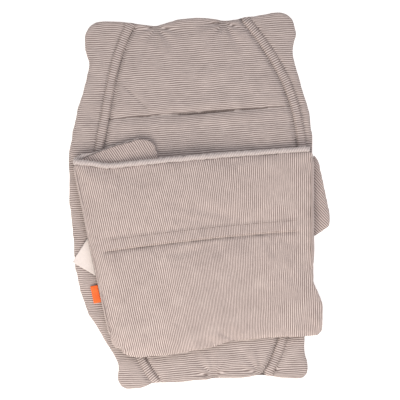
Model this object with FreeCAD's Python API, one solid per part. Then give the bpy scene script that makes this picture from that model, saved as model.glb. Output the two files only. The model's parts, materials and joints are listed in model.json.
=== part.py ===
import FreeCAD, Part
import math
import os

# A padded, striped cotton baby wrap that lies folded flat. Millimetres: +X is to the wearer's right,
# +Y towards the head end, +Z up, and the origin is the middle of its footprint on the surface below.
# One wide padded wing is sewn along the right edge of a padded back panel and lies folded over it,
# and the wing's far end is folded under at a leaning fold line on the left.

# Cloth, seams and clearances
cloth = 1.0                  # one layer of lined striped cotton
thread_width = 1.4           # a row of lockstitch
thread_height = 0.3
layer_gap = 0.6              # air between two bodies that lie on each other
label_clearance = 1.6        # from the fold of the wing to what is sewn down beside it

# Back panel, drawn upright about its own middle line and laid down turned by back_turn
back_length = 592.0          # tip to tip of the corner lobes
back_thickness = 14.0
back_turn = 4.0              # degrees, anticlockwise
head_half_width = 167.0      # middle line to the side of a head lobe
foot_half_width = 152.0
left_shoulder = 192.0        # middle line to the left side, below the head lobe
left_belly = 208.0           # and at its widest
left_waist = 205.0           # and below the middle
left_hip = 191.0             # and where it starts to run in to the foot
right_shoulder = 188.0
right_belly = 183.0
right_waist = 170.0
right_hip = 161.0
head_lobe_length = 68.0      # tip of a head lobe to the neck below it
foot_lobe_length = 44.0
neck_depth = 6.0             # how far a neck pulls in beside its lobe
scallop_depth = 9.0          # how far the end seams dip between the lobes
head_dip = 4.0               # and how much further at the head end's two notches
cross_seam_y = 141.0         # seam between the head cloth and the seat cloth

# Edge bands, which cover the seams between the middle cloths and the side cloths
band_width = 14.0
band_thickness = 1.4
band_head_x = 96.0           # middle line to a band at the head end
band_foot_x = 93.0
left_band_belly = 170.0      # middle line to the widest point of the left band
left_band_shoulder = 0.62    # share of that width that the band has reached at the shoulder
right_band_belly = 166.0
right_band_shoulder = 0.93
seam_allowance = 1.8         # edge of a band or pleat to its row of stitches

# Tab at the right edge, where the wing's root turns out
tab_thickness = 8.4
tab_top_y = 82.0
tab_length = 140.0
tab_reach = 27.0             # how far it stands out past the wing's right edge

# Wing, folded over the back panel
wing_thickness = 9.0
wing_right = 183.0           # its sewn edge
wing_top = 80.0              # upper end of its sewn edge
wing_reach = 387.0           # sewn edge to the fold, along its upper edge
wing_depth = 299.0           # along its sewn edge
wing_top_drop = 20.0         # how much lower its upper edge is at the fold
wing_top_sag = 11.0          # how far that edge sags beside the fold
wing_lobe = 15.0             # how far its lower right lobe stands out past the sewn edge
slope_margin = 8.0           # from the wing end's edge to where the wing starts to come down
slope_run = 96.0             # from there to where it lies on the back panel
hinge_offset = 3.0           # sewn edge to the line that it turns about

# Fold at the left, and the wing's end folded under it
fold_lean = 12.1             # degrees from the Y axis, leaning right towards the foot
fold_length = 322.0
end_thickness = 9.0
end_reach = 137.0            # fold to the free edge of the wing end
end_rise = 19.0              # how far its upper corner stands up past the top of the fold
end_length = 286.0           # along its free edge
end_foot_rise = 8.0          # how much higher its lower edge is there than at the fold

# Rolled edge along the top of the wing and of its end
roll_width = 4.5
roll_height = 5.0

# Pleat stitched across the wing
pleat_width = 20.0
pleat_height = 1.2
pleat_left_y = -73.0         # middle of the pleat near the fold
pleat_right_y = -40.0        # and near the sewn edge
pleat_margin = 22.0          # from the ends of the pleat to the wing's edges

# Joining strip between the back panel and the wing's sewn edge
strip_length = 190.0
strip_top_y = 76.0
strip_reach = 2.5            # how far it stands out past the sewn edge

# What is sewn down beside the fold
label_along = 122.0          # from the top of the fold to the near corner of the label
label_base = 64.0
label_height = 32.0
label_thickness = 0.5
label_gap = 0.4              # air between the back panel and a label that lies on it
side_tab_along = 200.0
side_tab_length = 28.0
side_tab_reach = 12.0
side_tab_thickness = 1.2

# Levels worked out from the thicknesses
stack_bottom = back_thickness + band_thickness + thread_height + layer_gap
end_top = stack_bottom + end_thickness
wing_lift = end_thickness + layer_gap
tall = 100.0                 # taller than anything here


def vector(x, y, z=0.0):
    return FreeCAD.Vector(x, y, z)


def curve(points, closed=False):
    """A smooth curve through plan points."""
    spline = Part.BSplineCurve()
    spline.interpolate([vector(x, y) for x, y in points], PeriodicFlag=closed)
    return spline.toShape()


def line(start, end):
    return Part.makeLine(vector(*start), vector(*end))


def between(start, end, share, bow=0.0):
    """A plan point part of the way from start to end, moved by bow to the left of that direction."""
    dx, dy = end[0] - start[0], end[1] - start[1]
    length = math.hypot(dx, dy)
    return (start[0] + share * dx - bow * dy / length, start[1] + share * dy + bow * dx / length)


def turned(points):
    """Plan points of the upright back panel, laid down at its turn."""
    cos, sin = math.cos(math.radians(back_turn)), math.sin(math.radians(back_turn))
    return [(x * cos - y * sin, x * sin + y * cos) for x, y in points]


def from_fold(along, inward):
    """The plan point a distance down the fold from its top, and a distance in under the wing."""
    lean = math.radians(fold_lean)
    top_x, top_y = wing_right - wing_reach, wing_top - wing_top_drop
    return (
        top_x + along * math.sin(lean) + inward * math.cos(lean),
        top_y - along * math.cos(lean) + inward * math.sin(lean),
    )


def level(face, low, high):
    """The flat layer over a plan face between two heights."""
    solid = face.extrude(vector(0, 0, high - low))
    solid.translate(vector(0, 0, low))
    return solid


def draped(face, low, high):
    """The layer over a plan face between two heights above the wing's underside where it lies lowest."""
    left, right = wing_right - 2 * wing_reach, wing_right + wing_reach
    slope_start = from_fold(end_length - end_rise - end_foot_rise, end_reach)[0] + slope_margin
    slope_end = slope_start + slope_run
    steps = ((left, wing_lift), (slope_start, wing_lift), (slope_end, 0.0), (right, 0.0))
    lower = [vector(x, -tall * 5, stack_bottom + rise + low) for x, rise in steps]
    upper = [vector(x, -tall * 5, stack_bottom + rise + high) for x, rise in reversed(steps)]
    sheet = Part.Face(Part.makePolygon(lower + upper + lower[:1])).extrude(vector(0, tall * 10, 0))
    return level(face, 0.0, tall).common(sheet)


def largest(shape):
    """The largest face of a plan shape that was cut up."""
    return max(shape.Faces, key=lambda face: face.Area)


def inset(face, distance):
    """The plan face with its edge moved in."""
    return Part.Face(face.makeOffset2D(-distance).Wires[0])


def padded_panel(face, low, high, layer):
    """Upper cloth, lower cloth and wadding of a panel whose two cloths meet at half its height."""
    middle = (low + high) / 2
    wadding = layer(inset(face, cloth), low + cloth, high - cloth)
    upper = layer(face, middle, high).cut(wadding)
    lower = layer(face, low, middle).cut(wadding)
    return upper, lower, wadding


def shifted(points, distance):
    """Plan points moved sideways off the smooth line through them, to its right."""
    middle = curve(points).Curve
    moved = []
    for x, y in points:
        along = middle.tangent(middle.parameter(vector(x, y)))[0]
        moved.append((x + along.y * distance, y - along.x * distance))
    return moved


def ribbon(points, width):
    """The plan face of a strip of even width along a smooth line."""
    left, right = shifted(points, -width / 2), shifted(points, width / 2)
    edges = [curve(left), line(left[-1], right[-1]), curve(right), line(right[0], left[0])]
    return Part.Face(Part.Wire(Part.__sortEdges__(edges)))


def stitch_rows(points, width):
    """Plan faces of two rows of stitches, just inside the two edges of a strip."""
    apart = width / 2 - seam_allowance
    return [ribbon(shifted(points, side * apart), thread_width) for side in (-1, 1)]


def rounded(corners):
    """The plan face inside corners, each a point, a radius and the bow of the side after it."""
    ends = []
    for index, (corner, radius, _) in enumerate(corners):
        here = vector(*corner)
        if not radius:
            ends.append((here, here, here))
            continue
        back = (vector(*corners[index - 1][0]) - here).normalize()
        ahead = (vector(*corners[(index + 1) % len(corners)][0]) - here).normalize()
        half_turn = back.getAngle(ahead) / 2
        reach = radius / math.tan(half_turn)
        middle = here + (back + ahead).normalize() * (radius / math.sin(half_turn) - radius)
        ends.append((here + back * reach, middle, here + ahead * reach))
    edges = []
    for index, (start, middle, end) in enumerate(ends):
        if corners[index][1]:
            edges.append(Part.Arc(start, middle, end).toShape())
        bow, following = corners[index][2], ends[(index + 1) % len(ends)][0]
        if bow:
            crest = vector(*between((end.x, end.y), (following.x, following.y), 0.5, bow))
            edges.append(Part.Arc(end, crest, following).toShape())
        else:
            edges.append(Part.makeLine(end, following))
    return Part.Face(Part.Wire(edges))


def mirrored(corners):
    """The same corners on the other side of the middle line, in the order that carries on round."""
    bows = [bow for _, _, bow in corners]
    bows = bows[-2::-1] + bows[-1:]
    return [((-x, y), radius, bow) for ((x, y), radius, _), bow in zip(corners[::-1], bows)]


def side_corners(shoulder, belly, waist, hip):
    """One side of the upright back panel, clockwise from the head end to the foot end."""
    head, foot = back_length / 2, -back_length / 2
    head_neck, foot_neck = head_half_width - neck_depth, foot_half_width - neck_depth / 2
    return [
        ((head_half_width, head), 26.0, 0.0),
        ((head_half_width, head - 0.66 * head_lobe_length), 24.0, 0.0),
        ((head_neck, head - head_lobe_length), 10.0, 0.0),
        ((shoulder, 0.42 * head), 90.0, 2.0),
        ((belly, 0.12 * head), 160.0, 1.0),
        ((waist, 0.3 * foot), 110.0, 1.0),
        ((hip, 0.56 * foot), 50.0, 0.0),
        ((foot_neck, foot + foot_lobe_length), 30.0, 0.0),
        ((foot_half_width, foot + 0.6 * foot_lobe_length), 12.0, 0.0),
        ((foot_half_width, foot), 18.0, 0.0),
    ]


def back_face():
    """The back panel: a lobe at each corner, and end seams that dip between them."""
    head, foot = back_length / 2 - scallop_depth, scallop_depth - back_length / 2
    corners = side_corners(right_shoulder, right_belly, right_waist, right_hip)
    for share in (0.5, 0.02, -0.64):
        corners.append(((share * foot_half_width, foot), 0.0, 3.0))
    corners += mirrored(side_corners(left_shoulder, left_belly, left_waist, left_hip))
    corners.append(((-0.3 * head_half_width, head - head_dip), 0.0, scallop_depth))
    corners.append(((0.35 * head_half_width, head - head_dip), 0.0, 0.0))
    return rounded([(turned([corner])[0], radius, bow) for corner, radius, bow in corners])


def band_points(side, belly, shoulder):
    """The middle line of an edge band, run out past both ends of the back panel."""
    head, foot = back_length / 2, -back_length / 2
    points = [
        (band_head_x - 0.1 * head, 1.08 * head),
        (band_head_x, 0.95 * head),
        (band_head_x + shoulder * (belly - band_head_x), 0.5 * head),
        (belly, 0.02 * head),
        (band_foot_x + 0.62 * (belly - band_foot_x), 0.55 * foot),
        (band_foot_x, 0.95 * foot),
        (band_foot_x - 0.1 * head, 1.08 * foot),
    ]
    return turned([(side * x, y) for x, y in points])


def outside_face(side, points):
    """Everything in plan outside the middle line of one band."""
    far = side * 2 * left_belly
    edges = [
        curve(points),
        line(points[-1], (far, points[-1][1])),
        line((far, points[-1][1]), (far, points[0][1])),
        line((far, points[0][1]), points[0]),
    ]
    return Part.Face(Part.Wire(edges))


def cross_seam_points():
    """The seam between the head cloth and the seat cloth, run out past both sides."""
    wide = 1.5 * left_belly
    return turned([(-wide, cross_seam_y), (0.0, cross_seam_y - 1.0), (wide, cross_seam_y)])


def above_seam_face():
    """Everything in plan on the head side of the cross seam."""
    seam = cross_seam_points()
    left_top, right_top = turned([(-1.5 * left_belly, back_length), (1.5 * left_belly, back_length)])
    edges = [curve(seam), line(seam[2], right_top), line(right_top, left_top), line(left_top, seam[0])]
    return Part.Face(Part.Wire(edges))


def tab_face(back):
    """The part of the right tab outside the back panel."""
    out, low = wing_right + tab_reach, tab_top_y - tab_length
    corners = [
        ((wing_right - 10.0, tab_top_y), 3.0, 0.0),
        ((wing_right + 0.3 * tab_reach, tab_top_y - 0.12 * tab_length), 20.0, 0.0),
        ((out, tab_top_y - 0.76 * tab_length), 14.0, 0.0),
        ((out, tab_top_y - 0.88 * tab_length), 8.0, 0.0),
        ((wing_right + 2.0, low), 4.0, 0.0),
        ((wing_right - 10.0, low), 3.0, 0.0),
    ]
    return largest(rounded(corners).cut(back))


def strip_face(back):
    """The part of the joining strip outside the back panel."""
    left, right = wing_right - 2 * tab_reach, wing_right + strip_reach
    top, low = strip_top_y, strip_top_y - strip_length
    corners = [(left, top), (right, top), (right, low), (left, low)]
    return largest(rounded([(corner, 1.0, 0.0) for corner in corners]).cut(back))


def wing_face():
    """The wing, whose straight left side is the fold."""
    top_left, top_right = from_fold(0.0, 0.0), (wing_right, wing_top)
    low_left, low_right = from_fold(fold_length, 0.0), (wing_right, wing_top - wing_depth)
    return rounded([
        (top_left, 4.0, 0.0),
        (between(top_left, top_right, 0.15, -wing_top_sag), 60.0, 2.0),
        (top_right, 5.0, 0.0),
        ((wing_right, wing_top - 0.7 * wing_depth), 20.0, 0.0),
        ((wing_right + wing_lobe, wing_top - 0.82 * wing_depth), 20.0, 0.0),
        ((wing_right + wing_lobe, low_right[1] + 1.0), 16.0, 0.0),
        (between(low_right, low_left, 0.4, -7.0), 10.0, 7.0),
        (low_left, 16.0, 0.0),
    ])


def end_face():
    """The wing's end, whose straight left side is the fold; its upper corner is round."""
    low = end_length - end_rise
    return rounded([
        (from_fold(0.0, 0.0), 3.0, 3.0),
        (from_fold(-end_rise, end_reach), 24.0, 2.0),
        (from_fold(low - end_foot_rise, end_reach), 34.0, 0.0),
        (from_fold(low, 0.0), 8.0, 0.0),
    ])


def roll_face(face, lowest, reach):
    """A strip of roll_width just outside the upper edge of a plan face that starts at the fold."""
    ring = Part.Face(face.makeOffset2D(roll_width).Wires[0]).cut(face)
    inside = label_gap
    corners = [
        from_fold(lowest, inside),
        from_fold(-3 * end_rise, inside),
        from_fold(-3 * end_rise, reach),
        from_fold(lowest, reach),
        from_fold(lowest, inside),
    ]
    window = Part.Face(Part.makePolygon([vector(*corner) for corner in corners]))
    return largest(ring.common(window))


def pleat_points():
    """The middle line of the pleat, from the fold side to the sewn side."""
    along = (wing_top - wing_top_drop - pleat_left_y) / math.cos(math.radians(fold_lean))
    left = (from_fold(along, 0.0)[0] + pleat_margin, pleat_left_y)
    right = (wing_right - pleat_margin, pleat_right_y)
    return [left, between(left, right, 0.5, 3.0), right]


def label_face():
    """The free corner of the care label, beside the fold."""
    return rounded([
        (from_fold(label_along, -label_clearance), 1.0, 0.0),
        (from_fold(label_along + label_base, -label_clearance), 1.0, 0.0),
        (from_fold(label_along + 0.53 * label_base, -label_clearance - label_height), 1.0, 0.0),
    ])


def side_tab_face():
    near, far = -label_clearance, -label_clearance - side_tab_reach
    low = side_tab_along + side_tab_length
    corners = [(side_tab_along, near), (low, near), (low, far + 1.0), (side_tab_along, far)]
    return rounded([(from_fold(*corner), 1.0, 0.0) for corner in corners])


def back_nodes():
    """Everything on the back panel's body."""
    back, top = back_face(), back_thickness
    upper, lower, wadding = padded_panel(back, 0.0, top, level)
    left_line = band_points(-1, left_band_belly, left_band_shoulder)
    right_line = band_points(1, right_band_belly, right_band_shoulder)
    left_side = level(outside_face(-1, left_line), 0.0, tall)
    right_side = level(outside_face(1, right_line), 0.0, tall)
    head_side = level(above_seam_face(), 0.0, tall)
    middle = upper.cut(left_side).cut(right_side)
    nodes = {
        "back_lower_cloth": lower,
        "back_padding": wadding,
        "left_side_cloth": upper.common(left_side),
        "right_side_cloth": upper.common(right_side),
        "head_cloth": middle.common(head_side),
        "seat_cloth": middle.cut(head_side),
    }
    margin = inset(back, cloth)
    seam = level(ribbon(cross_seam_points(), thread_width), top, top + thread_height)
    seam = seam.cut(left_side).cut(right_side)
    for side, points in (("left", left_line), ("right", right_line)):
        band = level(largest(ribbon(points, band_width).common(margin)), top, top + band_thickness)
        rows = [largest(row.common(margin)) for row in stitch_rows(points, band_width)]
        on_band = top + band_thickness
        nodes[f"{side}_band"] = band
        nodes[f"{side}_band_stitching"] = Part.Compound(
            [level(row, on_band, on_band + thread_height) for row in rows]
        )
        seam = seam.cut(band)
    nodes["cross_seam_stitching"] = seam
    upper, lower, wadding = padded_panel(tab_face(back), 0.0, tab_thickness, level)
    nodes["tab_upper_cloth"], nodes["tab_lower_cloth"], nodes["tab_padding"] = upper, lower, wadding
    nodes["joining_strip"] = level(strip_face(back), tab_thickness, stack_bottom - layer_gap)
    return nodes


def wing_nodes():
    """Everything on the wing's body."""
    wing, top = wing_face(), wing_thickness
    outer, inner, wadding = padded_panel(wing, 0.0, top, draped)
    roll = roll_face(wing, 0.28 * fold_length, wing_reach - 3 * roll_width)
    roll_low = (top - roll_height) / 2
    pleat = pleat_points()
    on_pleat = top + pleat_height
    rows = [draped(row, on_pleat, on_pleat + thread_height) for row in stitch_rows(pleat, pleat_width)]
    return {
        "wing_outer_cloth": outer,
        "wing_inner_cloth": inner,
        "wing_padding": wadding,
        "wing_rolled_edge": draped(roll, roll_low, roll_low + roll_height),
        "wing_pleat": draped(ribbon(pleat, pleat_width), top, on_pleat),
        "wing_pleat_stitching": Part.Compound(rows),
    }


def end_nodes():
    """Everything on the body of the wing's folded-under end."""
    end = end_face()
    upper, lower, wadding = padded_panel(end, stack_bottom, end_top, level)
    roll_low = stack_bottom + (end_thickness - roll_height) / 2
    roll = roll_face(end, 0.0, end_reach - 5 * roll_width)
    return {
        "end_upper_cloth": upper,
        "end_lower_cloth": lower,
        "end_padding": wadding,
        "end_rolled_edge": level(roll, roll_low, roll_low + roll_height),
    }


def label_nodes():
    low = back_thickness + label_gap
    return {
        "care_label": level(label_face(), low, low + label_thickness),
        "side_tab": level(side_tab_face(), low, low + side_tab_thickness),
    }


os.makedirs("parts", exist_ok=True)
nodes = {**back_nodes(), **wing_nodes(), **end_nodes(), **label_nodes()}
box = FreeCAD.BoundBox()
for shape in nodes.values():
    box.add(shape.BoundBox)
to_origin = vector(-box.Center.x, -box.Center.y, -box.ZMin)
for node, shape in nodes.items():
    shape.translate(to_origin)
    shape.exportStep(f"parts/{node}.step")

fold_top = from_fold(0.0, 0.0)
label_top = from_fold(label_along, -label_clearance)
print("box", round(box.XLength, 2), round(box.YLength, 2), round(box.ZLength, 2))
print("wing axis", vector(wing_right + hinge_offset, 0.0, stack_bottom + wing_thickness / 2) + to_origin)
print("end axis", vector(*fold_top, end_top + layer_gap / 2) + to_origin)
print("label axis", vector(*label_top, back_thickness + label_gap + label_thickness / 2) + to_origin)
print("side tab axis", vector(*label_top, back_thickness + label_gap + side_tab_thickness / 2) + to_origin)
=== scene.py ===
"""The looks of a padded baby wrap in striped cotton, folded flat. Metres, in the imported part's frame."""

import json
import math

import bpy
import numpy as np
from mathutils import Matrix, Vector, noise
from mathutils.bvhtree import BVHTree

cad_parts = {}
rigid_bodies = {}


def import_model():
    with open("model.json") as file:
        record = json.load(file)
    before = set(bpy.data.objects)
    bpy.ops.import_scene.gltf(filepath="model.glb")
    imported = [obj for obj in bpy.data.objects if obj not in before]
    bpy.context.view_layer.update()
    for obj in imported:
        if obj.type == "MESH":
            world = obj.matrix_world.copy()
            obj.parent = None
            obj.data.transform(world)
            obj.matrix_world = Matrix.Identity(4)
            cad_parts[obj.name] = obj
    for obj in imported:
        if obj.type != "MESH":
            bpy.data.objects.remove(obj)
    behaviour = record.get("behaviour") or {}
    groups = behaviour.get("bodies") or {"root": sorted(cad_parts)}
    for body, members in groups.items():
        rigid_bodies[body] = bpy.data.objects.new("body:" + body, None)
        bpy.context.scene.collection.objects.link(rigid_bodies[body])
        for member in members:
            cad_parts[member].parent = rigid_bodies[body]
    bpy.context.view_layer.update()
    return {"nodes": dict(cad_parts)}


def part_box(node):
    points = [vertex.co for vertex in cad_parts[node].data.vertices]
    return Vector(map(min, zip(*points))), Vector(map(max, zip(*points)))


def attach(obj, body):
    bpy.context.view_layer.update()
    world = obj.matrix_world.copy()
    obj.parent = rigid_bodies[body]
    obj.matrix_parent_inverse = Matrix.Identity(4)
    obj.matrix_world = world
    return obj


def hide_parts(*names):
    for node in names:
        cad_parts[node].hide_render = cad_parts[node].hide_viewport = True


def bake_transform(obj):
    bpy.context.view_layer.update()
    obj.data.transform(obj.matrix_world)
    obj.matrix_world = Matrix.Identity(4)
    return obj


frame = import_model()
MM = 0.001

# Levels of the lying layers, and where the wing comes down off its folded end
BACK_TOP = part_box("seat_cloth")[1].z
BACK_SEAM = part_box("seat_cloth")[0].z
BACK_LIMIT = 13.6 * MM      # the filled back hardly rises past it
WING_LOW, WING_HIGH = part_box("wing_padding")[0].z - MM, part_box("wing_padding")[1].z + MM
WING_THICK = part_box("end_upper_cloth")[1].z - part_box("end_lower_cloth")[0].z
SLOPE_START, SLOPE_END = -7.75 * MM, 88.25 * MM

# The left fold: its upper end and lean, where the end_fold joint turns, and its length and height
FOLD_TOP = Vector((-204.42, 59.79, 0)) * MM
FOLD_LEAN = math.radians(12.1)
ALONG = Vector((math.sin(FOLD_LEAN), -math.cos(FOLD_LEAN), 0))
INWARD = Vector((math.cos(FOLD_LEAN), math.sin(FOLD_LEAN), 0))
FOLD_LENGTH = 322 * MM
WING_CORNER, END_CORNER = 36 * MM, 46 * MM      # radii at its lower end
FOLD_HEIGHT = 25.6 * MM

# The back panel lies turned by this much
TURN = math.radians(4.0)
PANEL_X = Vector((math.cos(TURN), math.sin(TURN), 0))
PANEL_Y = Vector((-math.sin(TURN), math.cos(TURN), 0))

TAB_THICK = 8.4 * MM
PITCH = 3.3 * MM        # one light and one dark stripe
STITCH, STITCH_GAP = 2.9 * MM, 0.9 * MM
PRESSURE = 1.6          # of the air that fills the pads in the cloth simulation
RAY_START = 0.2         # well above everything


# ---------------------------------------------------------------- materials

def linear(hex_text):
    """An sRGB hex colour as linear values, with alpha."""
    channels = [int(hex_text[i:i + 2], 16) / 255 for i in (1, 3, 5)]
    return [c / 12.92 if c <= 0.04045 else ((c + 0.055) / 1.055) ** 2.4 for c in channels] + [1.0]


def add(tree, kind, settings, links):
    """Adds a node, sets its sockets and properties, and links its inputs."""
    node = tree.nodes.new(kind)
    for name, value in settings.items():
        if isinstance(name, int) or name in node.inputs:
            node.inputs[name].default_value = value
        else:
            setattr(node, name, value)
    for socket, source in links.items():
        tree.links.new(source, node.inputs[socket])
    return node


def new_material(name, shader):
    """A material with one Principled shader, and its tree and shader node."""
    material = bpy.data.materials.new(name)
    material.use_nodes = True
    tree = material.node_tree
    tree.nodes.clear()
    surface = add(tree, "ShaderNodeBsdfPrincipled", shader, {})
    add(tree, "ShaderNodeOutputMaterial", {}, {"Surface": surface.outputs["BSDF"]})
    return material, tree, surface


def striped_cotton(name, light, dark):
    """Yarn-dyed striped cotton, plain woven and washed: matt, with thin light and dark stripes that wander a
    little, uneven yarns, and a faint bloom of loose fibres seen edge on."""
    material, tree, surface = new_material(name, {
        "Roughness": 0.92, "IOR": 1.47, "Specular IOR Level": 0.2,
        "Sheen Weight": 0.18, "Sheen Roughness": 0.5, "Sheen Tint": linear("#f3e9e2")})
    cloth = add(tree, "ShaderNodeUVMap", {"uv_map": "cloth"}, {})
    across = add(tree, "ShaderNodeSeparateXYZ", {}, {0: cloth.outputs[0]})
    # the cloth was pressed and washed, so its stripes wander by half a millimetre over a hand's width
    drift = add(tree, "ShaderNodeTexNoise", {"Scale": 24.0, "Detail": 2.0}, {"Vector": cloth.outputs[0]})
    drift_by = add(tree, "ShaderNodeMath", {"operation": "MULTIPLY_ADD", 1: 0.004, 2: -0.002},
                   {0: drift.outputs[0]})
    moved = add(tree, "ShaderNodeMath", {"operation": "ADD"},
                {0: across.outputs[0], 1: drift_by.outputs[0]})
    turns = add(tree, "ShaderNodeMath", {"operation": "MULTIPLY", 1: 2 * math.pi / PITCH},
                {0: moved.outputs[0]})
    wave = add(tree, "ShaderNodeMath", {"operation": "SINE"}, {0: turns.outputs[0]})
    # the two colours shade into each other over most of the stripe
    stripe = add(tree, "ShaderNodeMapRange", {"interpolation_type": "SMOOTHSTEP", 1: -0.9, 2: 0.9},
                 {0: wave.outputs[0]})
    # slubs, thick places in single yarns, 0.9 mm wide and 14 mm long
    along = add(tree, "ShaderNodeMapping", {"Scale": (1.0, 0.065, 1.0)}, {"Vector": cloth.outputs[0]})
    slub = add(tree, "ShaderNodeTexNoise", {"Scale": 1100.0, "Detail": 1.0}, {"Vector": along.outputs[0]})
    # the crosswise yarns are 0.5 mm apart, drawn 1.3 mm apart, because finer ones would not show
    ticks = add(tree, "ShaderNodeMath", {"operation": "MULTIPLY", 1: 2 * math.pi / (1.3 * MM)},
                {0: across.outputs[1]})
    yarn = add(tree, "ShaderNodeMath", {"operation": "SINE"}, {0: ticks.outputs[0]})
    # washing leaves cloudy lighter and darker places, about 35 mm across
    cloud = add(tree, "ShaderNodeTexNoise", {"Scale": 28.0, "Detail": 3.0, "Roughness": 0.6},
                {"Vector": cloth.outputs[0]})
    colour = add(tree, "ShaderNodeMix", {"data_type": "RGBA", 6: linear(dark), 7: linear(light)},
                 {0: stripe.outputs[0]})
    uneven = add(tree, "ShaderNodeMath", {"operation": "MULTIPLY_ADD", 1: 0.62, 2: 0.69},
                 {0: slub.outputs[0]})
    cloudy = add(tree, "ShaderNodeMath", {"operation": "MULTIPLY_ADD", 1: 0.26, 2: 0.87},
                 {0: cloud.outputs[0]})
    ticked = add(tree, "ShaderNodeMath", {"operation": "MULTIPLY_ADD", 1: 0.035, 2: 1.0},
                 {0: yarn.outputs[0]})
    value = add(tree, "ShaderNodeMath", {"operation": "MULTIPLY"},
                {0: uneven.outputs[0], 1: cloudy.outputs[0]})
    value = add(tree, "ShaderNodeMath", {"operation": "MULTIPLY"},
                {0: value.outputs[0], 1: ticked.outputs[0]})
    shaded = add(tree, "ShaderNodeVectorMath", {"operation": "SCALE"},
                 {0: colour.outputs[2], "Scale": value.outputs[0]})
    # seams and edges are rubbed paler, and painted shade darkens the stitched grooves, creases and notches
    worn = add(tree, "ShaderNodeAttribute", {"attribute_name": "worn"}, {})
    paler = add(tree, "ShaderNodeMix", {"data_type": "RGBA", 7: linear("#e4d8d0")},
                {0: worn.outputs["Fac"], 6: shaded.outputs[0]})
    shade = add(tree, "ShaderNodeAttribute", {"attribute_name": "shade"}, {})
    kept = add(tree, "ShaderNodeMath", {"operation": "MULTIPLY_ADD", 1: -0.62, 2: 1.0},
               {0: shade.outputs["Fac"]})
    deeper = add(tree, "ShaderNodeVectorMath", {"operation": "SCALE"},
                 {0: paler.outputs[2], "Scale": kept.outputs[0]})
    tree.links.new(deeper.outputs[0], surface.inputs["Base Color"])
    # stripes stand up a little, and the whole cloth is finely crumpled at 7 mm
    crumple = add(tree, "ShaderNodeTexNoise", {"Scale": 140.0, "Detail": 3.0, "Roughness": 0.6},
                  {"Vector": cloth.outputs[0]})
    raised = add(tree, "ShaderNodeMath", {"operation": "MULTIPLY", 1: 0.35}, {0: stripe.outputs[0]})
    height = add(tree, "ShaderNodeMath", {"operation": "MULTIPLY_ADD", 1: 0.08},
                 {0: yarn.outputs[0], 2: raised.outputs[0]})
    height = add(tree, "ShaderNodeMath", {"operation": "MULTIPLY_ADD", 1: 1.6},
                 {0: crumple.outputs[0], 2: height.outputs[0]})
    bump = add(tree, "ShaderNodeBump", {"Strength": 0.7, "Distance": 0.8 * MM}, {"Height": height.outputs[0]})
    tree.links.new(bump.outputs[0], surface.inputs["Normal"])
    return material


def rolled_cotton():
    """Cotton edge rolled and overlocked with thread: paler than the cloth, with slanting ridges."""
    material, tree, surface = new_material("rolled_cotton_overlocked", {
        "Roughness": 0.9, "IOR": 1.47, "Specular IOR Level": 0.2,
        "Sheen Weight": 0.25, "Sheen Roughness": 0.5, "Sheen Tint": linear("#fff8f0")})
    cloth = add(tree, "ShaderNodeUVMap", {"uv_map": "cloth"}, {})
    part = add(tree, "ShaderNodeSeparateXYZ", {}, {0: cloth.outputs[0]})
    # overlock threads lie 0.8 mm apart, drawn 2.6 mm apart, because finer ones would not show
    lean = add(tree, "ShaderNodeMath", {"operation": "MULTIPLY_ADD", 1: 0.45},
               {0: part.outputs[1], 2: part.outputs[0]})
    turns = add(tree, "ShaderNodeMath", {"operation": "MULTIPLY", 1: 2 * math.pi / (2.6 * MM)},
                {0: lean.outputs[0]})
    wave = add(tree, "ShaderNodeMath", {"operation": "SINE"}, {0: turns.outputs[0]})
    thread = add(tree, "ShaderNodeMapRange", {"interpolation_type": "SMOOTHSTEP", 1: -0.9, 2: 0.7},
                 {0: wave.outputs[0]})
    fuzz = add(tree, "ShaderNodeTexNoise", {"Scale": 330.0, "Detail": 4.0, "Roughness": 0.75},
               {"Vector": cloth.outputs[0]})
    amount = add(tree, "ShaderNodeMath", {"operation": "MULTIPLY"},
                 {0: thread.outputs[0], 1: fuzz.outputs[0]})
    spread = add(tree, "ShaderNodeMapRange", {1: 0.0, 2: 0.55}, {0: amount.outputs[0]})
    colour = add(tree, "ShaderNodeMix", {"data_type": "RGBA", 6: linear("#9f928f"), 7: linear("#d7cecb")},
                 {0: spread.outputs[0]})
    tree.links.new(colour.outputs[2], surface.inputs["Base Color"])
    bump = add(tree, "ShaderNodeBump", {"Strength": 0.7, "Distance": 0.5 * MM}, {"Height": amount.outputs[0]})
    tree.links.new(bump.outputs[0], surface.inputs["Normal"])
    return material


def cotton_thread():
    """Spun cotton sewing thread: soft, pale taupe, with the slant of its two plies."""
    material, tree, surface = new_material("cotton_thread_spun", {
        "Roughness": 0.75, "IOR": 1.47, "Specular IOR Level": 0.3,
        "Sheen Weight": 0.2, "Sheen Roughness": 0.5, "Sheen Tint": linear("#f3e9e2")})
    place = add(tree, "ShaderNodeTexCoord", {}, {})
    # the plies turn about every 0.8 mm
    ply = add(tree, "ShaderNodeTexWave", {"bands_direction": "DIAGONAL", "Scale": 450.0, "Distortion": 1.0},
              {"Vector": place.outputs["Object"]})
    colour = add(tree, "ShaderNodeMix", {"data_type": "RGBA", 6: linear("#7f6e67"), 7: linear("#a3928a")},
                 {0: ply.outputs[1]})
    tree.links.new(colour.outputs[2], surface.inputs["Base Color"])
    bump = add(tree, "ShaderNodeBump", {"Strength": 0.4, "Distance": 0.1 * MM}, {"Height": ply.outputs[1]})
    tree.links.new(bump.outputs[0], surface.inputs["Normal"])
    return material


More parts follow.
